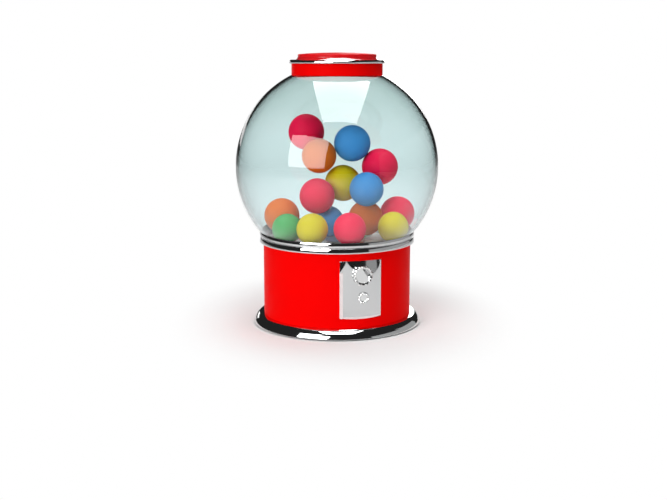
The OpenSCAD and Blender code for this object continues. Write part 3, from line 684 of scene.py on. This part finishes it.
# %% [markdown]
# The front plate is thin plated sheet, curved like the body. Flat, upright
# metal mirrors the pale floor, and metal that leans back even a little mirrors
# the dark room. So the plate leans back above a crease that hangs in two swags
# from its top edge, and its shape can be read from what it mirrors.

# %% Front plate's shape
PLATE_OUT, PLATE_T, PLATE_LOW, PLATE_HIGH = 51.85, 1.0, 13.3, 52.0
LEFT_U, RIGHT_U = -15.1, 14.5
CUSP_U, SWAG, LEFT_DEPTH, RIGHT_DEPTH = -10.6, 24.2, 15.5, 10.4
LEAN, SOFT = 0.11, 0.15
BOW, BOW_RISE, BOW_HEIGHT = 0.9, 0.4, 6.7


def lean(u, z):
    """How far the plate leans back: a fixed slope above the crease.

    A swag's depth is the square root of a sine, skewed by raising its run to
    the power 1.5. The slope sets in softly, as sqrt(height^2 + soft^2) - soft.
    """
    run = np.clip(np.abs(u - CUSP_U) / SWAG, 0, 1) ** 1.5
    depth = np.where(u > CUSP_U, RIGHT_DEPTH, LEFT_DEPTH) * np.sqrt(np.sin(np.pi * run).clip(0))
    height = np.clip(z - (PLATE_HIGH - depth), 0, None)
    return LEAN * (np.sqrt(height ** 2 + SOFT ** 2) - SOFT)


def on_plate(u, z, depth):
    """Point at u millimetres round the plate, height z, depth under its outer face.

    The lower edge is bowed: it lies BOW (1 - (u / RIGHT_U)^2) - BOW_RISE lower,
    which fades out over the lowest BOW_HEIGHT.
    """
    bow = BOW * (1 - (u / RIGHT_U) ** 2) - BOW_RISE
    z = z - bow * np.clip((PLATE_LOW + BOW_HEIGHT - z) / BOW_HEIGHT, 0, 1)
    radius = PLATE_OUT - depth - lean(u, z)
    angle = u / PLATE_OUT
    return np.stack([radius * np.sin(angle), -radius * np.cos(angle), z + 0 * u], -1)


most = lean(np.linspace(LEFT_U, RIGHT_U, 99), PLATE_HIGH).max()
print("the plate's top edge leans back by up to", round(float(most), 2), "mm")

# %% [markdown]
# The plate is one surface on a grid: rings run from the knob's hole out to the
# plate's edge, over the edge and back along the inside to the hole. Its left
# edge is rolled round the hinge pin.

# %% Front plate
HINGE_X, HINGE_Y, ROLL_R, ROLL_U = -13.267, -48.933, 1, -13.4
KNOB_Z, BUSH_R = 42.55, 3.2
EDGE_R, TOP_EDGE_R = 0.35, 0.03
RIM_POINTS, SPOKE_POINTS = 400, 84


def plate_border(count, inset):
    """Points along the plate's rectangle, inset, one for each direction from the hole."""
    corners = np.array([[RIGHT_U, PLATE_LOW], [RIGHT_U, PLATE_HIGH],
                        [LEFT_U, PLATE_HIGH], [LEFT_U, PLATE_LOW]])
    corners = corners + inset * np.array([[-1, 1], [-1, -1], [1, -1], [1, 1]])
    spokes = np.arctan2(corners[:, 1] - KNOB_Z, corners[:, 0])
    angles = np.concatenate([
        np.linspace(a, a + (b - a) % (2 * np.pi), count // 4, endpoint=False)
        for a, b in zip(spokes, np.roll(spokes, -1))])
    ray = np.stack([np.cos(angles), np.sin(angles)], 1)
    limit = np.where(ray[:, 0] > 0, corners[0, 0], corners[2, 0]) / ray[:, 0]
    rise = (np.where(ray[:, 1] > 0, corners[1, 1], corners[0, 1]) - KNOB_Z) / ray[:, 1]
    return ray * np.minimum(np.abs(limit), np.abs(rise))[:, None], ray


border, ray = plate_border(RIM_POINTS, EDGE_R)
top_edge = border[:, 1] + KNOB_Z > PLATE_HIGH - EDGE_R - 0.001
border[:, 1] = np.where(top_edge, PLATE_HIGH - KNOB_Z - TOP_EDGE_R, border[:, 1])
sides = np.stack([border[:, 0] > RIGHT_U - EDGE_R - 0.001, top_edge,
                  border[:, 0] < LEFT_U + EDGE_R + 0.001,
                  border[:, 1] + KNOB_Z < PLATE_LOW + EDGE_R + 0.001], 1)
outward = sides @ np.array([[1, 0], [0, 1], [-1, 0], [0, -1]])
edge_turn = np.radians(np.linspace(0, 180, 9))[1:-1, None, None]
share = np.linspace(0, 1, SPOKE_POINTS)[:, None, None]
front = ray * BUSH_R + (border - ray * BUSH_R) * share
edge = border + outward * np.where(sides[:, 1:2], TOP_EDGE_R, EDGE_R) * np.sin(edge_turn)
flat = np.concatenate([front, edge, front[::-7]])
depth = np.concatenate([0 * share, PLATE_T / 2 * (1 - np.cos(edge_turn)),
                        PLATE_T + 0 * share[::7]])[..., 0]
plate_grid = on_plate(flat[..., 0], flat[..., 1] + KNOB_Z, depth)
roll_z = np.linspace(PLATE_LOW + 0.3, PLATE_HIGH - 0.1, 60)
plate_roll = turn_outline(np.concatenate([
    rounded([(0, PLATE_LOW, 0), (ROLL_R, PLATE_LOW, 0.2), (ROLL_R, PLATE_LOW + 0.25, 0)], False),
    np.stack([ROLL_R + 0 * roll_z, roll_z], 1),
    [[ROLL_R - 0.1, PLATE_HIGH - 0.05], [0, PLATE_HIGH - 0.05]]]), 40)
plate_roll += np.array([HINGE_X, HINGE_Y, 0])
plate_roll[..., 1] += lean(np.array(ROLL_U), plate_roll[..., 2])
piece("plate_bright", joined(surface(plate_grid), surface(plate_roll, False)),
      "door", "plate_chrome", "front_plate")

# %% [markdown]
# The knob and the small pull are turned on an axis that points to the front.
# Finger notches run round each rim, so its lands stand up like beads and each
# one catches its own highlight.


# %% Knob's shape
def to_front(grid, distance, height, across=0):
    """Turns a shape to the front axis, at a distance from the machine's own axis."""
    x, y, z = grid[..., 0], grid[..., 1], grid[..., 2]
    return np.stack([x + across, -z - distance, y + height], -1)


def notched(count, start, full, inward, down, base):
    """Squeeze that cuts notches in a rim.

    notch = (1 + cos(count x angle)) / 2, squared, faded in from radius start to
    full. It takes inward x notch off the radius and down x notch off the
    height, the latter only above the height base.
    """
    def squeeze(radius, height, angle):
        notch = ((1 + np.cos(count * angle)) / 2) ** 2
        notch = notch * np.clip((radius - start) / (full - start), 0, 1)
        return radius - inward * notch, height - down * notch * np.clip(height - base, 0, 1)
    return squeeze


KNOB_R, FACE_R, FACE_Z = 6.85, 4.95, 2.3
knob = np.concatenate([
    rounded([(0, 0, 0), (KNOB_R - 0.85, 0, 0.2), (KNOB_R - 0.75, 0.5, 0.2), (KNOB_R, 2.45, 0.25),
             (KNOB_R, 2.7, 0.15), (KNOB_R - 0.65, 3.4, 0.15), (KNOB_R - 0.8, 3.4, 0.15),
             (FACE_R + 0.1, 2.8, 0.1), (FACE_R, FACE_Z, 0.1), (FACE_R - 0.6, FACE_Z, 0)],
            False, 7),
    np.stack([np.linspace(FACE_R - 0.75, 0, 34), np.full(34, FACE_Z)], 1)])
knob_grid = turn_outline(knob, 320, notched(14, 5.6, 6.3, 0.55, 0.75, 2.3))
print("knob's grid:", knob_grid.shape)

# %% [markdown]
# The knob's face has a sunk mark at one side, which shows how far it is
# turned. It is cut by moving the points beyond a chord back, so the step and
# the floor of the mark belong to the same surface as the rest.

# %% Knob and pull
CHORD, CHORD_RIGHT, CHORD_UP, STEP = 2.05, 0.84, 0.54, 0.25
KNOB_Y, PULL_Y = 52.05, 51.7


def sunk_mark(grid):
    """Sinks the face beyond a chord.

    Behind a step, the floor falls with height and curves away to the right:
    0.12 + 0.16 (up + 0.8) + 0.03 across^2.
    """
    across, up = grid[..., 0], grid[..., 1]
    beyond = np.clip((across * CHORD_RIGHT + up * CHORD_UP - CHORD) / STEP, 0, 1)
    on_face = (grid[..., 2] > 1.5) & (np.hypot(across, up) < FACE_R - 0.5)
    fall = 0.12 + 0.16 * np.clip(up + 0.8, 0, None) + 0.03 * np.clip(across, 0, None) ** 2
    sunk = grid.copy()
    sunk[..., 2] -= np.where(on_face, beyond * fall, 0)
    return sunk


piece("knob_bright", surface(to_front(sunk_mark(knob_grid), KNOB_Y, KNOB_Z), False),
      "turn_knob", "plate_chrome", "knob", "knob_chrome")

PULL_X, PULL_Z, PULL_R = 1.2, 27.2, 3.9
pull = rounded([
    (0, -0.2, 0), (PULL_R - 0.6, -0.2, 0.1), (PULL_R, 0.75, 0.2), (PULL_R, 0.95, 0.2),
    (PULL_R - 0.6, 1.55, 0.15), (PULL_R - 0.8, 1.55, 0.15), (PULL_R - 1.4, 0.95, 0.15),
    (PULL_R - 1.6, 0.45, 0.2), (0, 0.45, 0)], False, 7)
pull_grid = turn_outline(pull, 240, notched(10, 2.7, 3.1, 0.35, 0.6, 0.5))
piece("pull_bright", surface(to_front(pull_grid, PULL_Y, PULL_Z, PULL_X), False),
      "door", "plate_chrome", "door_pull", "knob_chrome")

# %% [markdown]
# The gumballs lie in a heap. The low ones are placed one by one, and each
# upper ball leans on another: its depth comes from the distance at which the
# two all but touch. A simulation could drop them too, but then nobody could say
# beforehand which ball comes to lie in front.

# %% Heap
# colour, size, to the camera's right, away from it, height
BOTTOM = [
    ("orange", 24.4, 20, -2, 73.4), ("orange", 25, -38.8, 4, 74), ("green", 20, -33.6, -26, 70.2),
    ("yellow", 21, -16.4, -37.2, 71.6), ("red", 21.5, 8.3, -41, 72.4),
    ("yellow", 21, 38.4, -15.5, 69.3), ("red", 25, 42.8, 7.4, 74.8), ("blue", 21.8, -6, 1.2, 70.6)]
# colour, size, to the right, height, the ball it leans on, its far or near side
UPPER = [
    ("blue", 23.4, 20.2, 95, 0, -1), ("yellow", 25.4, 4.2, 97, 8, 1),
    ("red", 25.4, 30, 108.6, 8, 1), ("red", 24.4, -13.6, 90, 9, -1),
    ("blue", 25.4, 10.6, 125, 10, -1), ("orange", 24, -12.4, 116.6, 12, -1),
    ("red", 25.4, -21.6, 132, 13, 1)]
TOUCH_GAP = 0.06
heap = [(colour, size, np.array([across, away, height]))
        for colour, size, across, away, height in BOTTOM]
for colour, size, across, height, other, side in UPPER:
    below_size, below = heap[other][1:]
    reach = (size + below_size) / 2 + TOUCH_GAP
    rest = reach ** 2 - (across - below[0]) ** 2 - (height - below[2]) ** 2
    away = below[1] + side * np.sqrt(max(0, rest))
    heap.append((colour, size, np.array([across, away, height])))
heap_turn = np.array([[np.cos(CAMERA_TURN), np.sin(CAMERA_TURN), 0],
                      [-np.sin(CAMERA_TURN), np.cos(CAMERA_TURN), 0], [0, 0, 1]])
print("gumballs in the heap:", len(heap))

# %% [markdown]
# A real gumball is not a perfect sphere, because it is tumbled in sugar, so
# low waves run over each one. Two more gumballs ride in the wheel's pockets.

# %% Gumballs
POCKET_R, POCKET_BALL, WHEEL_FLOOR_Z = 18.6, 24.6, 35.75
WAVE, WAVE_RATES = 0.003, np.array([2.5, 4.0, 6.0])


def gumball(size, middle, seed, around=72):
    """Sphere of radius R (1 - WAVE + WAVE x waves), turned in a direction of its own.

    waves is the mean of three sines, so the radius runs from R (1 - 2 WAVE) to R.
    """
    random = np.random.default_rng(seed)
    ball = turn_outline(arc(0, 0, 1, -90, 90, around // 2 + 1), around)
    directions = random.normal(size=(3, 3))
    directions *= (WAVE_RATES / np.linalg.norm(directions, axis=1))[:, None]
    waves = np.sin(ball @ directions.T + random.uniform(0, 6, 3)).sum(-1) / 3
    turned = ball @ np.linalg.qr(random.normal(size=(3, 3)))[0]
    radius = size / 2 * (1 - WAVE + WAVE * waves)
    return surface(turned * radius[..., None] + middle, False)


for colour in ("red", "blue", "orange", "yellow", "green"):
    balls = [gumball(size, heap_turn @ middle, i)
             for i, (shade, size, middle) in enumerate(heap) if shade == colour]
    node = "gumball_green" if colour == "green" else "gumballs_" + colour
    piece(f"heap_{colour}", joined(*balls), "machine", "candy_" + colour, node)

for colour, turn in (("red", -120), ("green", 120)):
    angle = np.radians(turn)
    middle = np.array([POCKET_R * np.sin(angle), -POCKET_R * np.cos(angle),
                       WHEEL_FLOOR_Z + POCKET_BALL / 2])
    piece(f"pocket_{colour}", gumball(POCKET_BALL, middle, 40),
          "wheel", "candy_" + colour, f"pocket_gumball_{colour}")

# %% [markdown]
# The machine stands on a plain pale floor. The floor is lit and takes the
# object's soft shadow, and further out it turns into plain white for the
# camera, so that it has no visible horizon. The turn follows an ellipse that is
# set off to the right and away from the camera, where the shadow falls, so the
# grey round the foot is real shadow in part and painted shadow in part.

# %% Floor
FLOOR_R, FLOOR_SIDES = 3.0, 96
FADE_START, FADE_END = 0.72, 1.35
floor_finish = Finish("floor", Roughness=0.9, Base_Color=rgba(0.78, 0.78, 0.78),
                      Specular_IOR_Level=0.0)
# Painted shadow in part: the ellipse where the lit grey floor turns white is shifted towards where
# the shadow falls.
shadow_ellipse = floor_finish.add("ShaderNodeMapping", {"vector_type": "TEXTURE"}, {
    "Vector": floor_finish.place(), "Location": RIGHT * 0.005 - TOWARDS * 0.012,
    "Rotation": (0, 0, -CAMERA_TURN), "Scale": (0.094, 0.128, 1)})
distance = floor_finish.add("ShaderNodeVectorMath", {"operation": "LENGTH"},
                            {0: shadow_ellipse}, "Value")
floor_finish.swap(distance.above(FADE_START, FADE_END) * floor_finish.seen(),
                  floor_finish.add("ShaderNodeEmission", {}, {"Color": rgba(1, 1, 1),
                                                              "Strength": 1.0}))
angle = np.linspace(0, 2 * np.pi, FLOOR_SIDES, endpoint=False)
rim = np.stack([FLOOR_R * np.cos(angle), FLOOR_R * np.sin(angle), 0 * angle], 1)
floor_mesh = bpy.data.meshes.new("floor")
floor_mesh.from_pydata(rim.tolist(), [], [list(range(FLOOR_SIDES))])
floor_mesh.materials.append(floor_finish.material)
floor = bpy.data.objects.new("floor", floor_mesh)
bpy.context.scene.collection.objects.link(floor)
print("floor radius", FLOOR_R, "m")

# %% [markdown]
# Bright metal and glass show the room, so the lamps' places matter as much as
# their light. One large soft box hangs overhead, and one stands in front on
# the left and leans in. Just behind each is a glow that adds to it in what is
# mirrored and lights nothing, because a glass wall mirrors so little. A dim
# panel stands on the right and two narrow boxes stand behind.

# %% Lamps
GLOBE_MIDDLE = Vector((0, 0, GLOBE_Z * MM))


def around_camera(right, towards, up):
    """Point to the right of the globe's middle, towards the camera and up, in metres."""
    return GLOBE_MIDDLE + RIGHT * right + TOWARDS * towards + Vector((0, 0, up))


def soft_box(name, place, aim, width, height, radiance, mirrored_only=False):
    """Rectangular lamp at place, facing aim. Power = radiance x area x pi.

    A lamp that is mirrored_only is hidden from diffuse rays, so that it shows in
    bright surfaces and glass, and lights nothing else.
    """
    lamp = bpy.data.lights.new(name, "AREA")
    lamp.shape = "RECTANGLE"
    lamp.size, lamp.size_y = width, height
    lamp.energy = radiance * width * height * np.pi
    made = bpy.data.objects.new(name, lamp)
    back = (place - aim).normalized()
    side = Vector((0, 0, 1)).cross(back)
    side = side.normalized() if side.length > 1e-3 else RIGHT.copy()
    made.matrix_world = standing(place, side, back)
    made.visible_camera = False
    made.visible_transmission = False
    made.visible_diffuse = not mirrored_only
    bpy.context.scene.collection.objects.link(made)
    print(f"{name}: {width} x {height} m, radiance {radiance}")


BOX, GLOW = 4.3, 3.0
overhead = around_camera(0.045, 0.015, 0.75)
below = overhead - Vector((0, 0, 1))
beside_globe = around_camera(0.02, 0.013, 0.015)
soft_box("overhead_box", overhead, below, 0.54, 1.07, BOX)
soft_box("front_left_box", around_camera(-0.413, 0.635, 0.268), beside_globe, 0.60, 0.46, BOX)
soft_box("overhead_glow", overhead + Vector((0, 0, 0.001)), below, 0.54, 1.07, GLOW, True)
soft_box("front_left_glow", around_camera(-0.4135, 0.6355, 0.2683), beside_globe,
         0.60, 0.46, GLOW, True)
soft_box("right_panel", around_camera(0.965, -0.017, 0.1), around_camera(0, 0, 0.1),
         1.9, 0.5, 0.37)
soft_box("back_left_strip", around_camera(-0.47, -1.105, 0.083), around_camera(0, 0, 0),
         0.45, 0.12, 1.5)
soft_box("back_right_strip", around_camera(0.177, -1.187, 0.17), around_camera(0, 0, -0.1),
         0.34, 0.26, 3.0)

# %% [markdown]
# The rest of the room is white where the camera sees it, also through glass,
# and dim or dark otherwise, so that bright metal keeps its dark parts.

# %% World
world = bpy.data.worlds.new("room")
world.use_nodes = True
bpy.context.scene.world = world
room = Tree(world.node_tree)
dim = room.light("Is Diffuse Ray") * 0.07 + 0.02
background = world.node_tree.nodes["Background"]
room.link(background.inputs["Color"], rgba(1, 1, 1))
room.link(background.inputs["Strength"], room.seen().or_else(dim))
print("world:", len(world.node_tree.nodes), "nodes")

# %% [markdown]
# Its globe reaches up to 0.03 mm further out, because a smooth circle
# passes just outside the solids' flat facets.

# %% Finish
bpy.context.scene.view_settings.view_transform = "Standard"
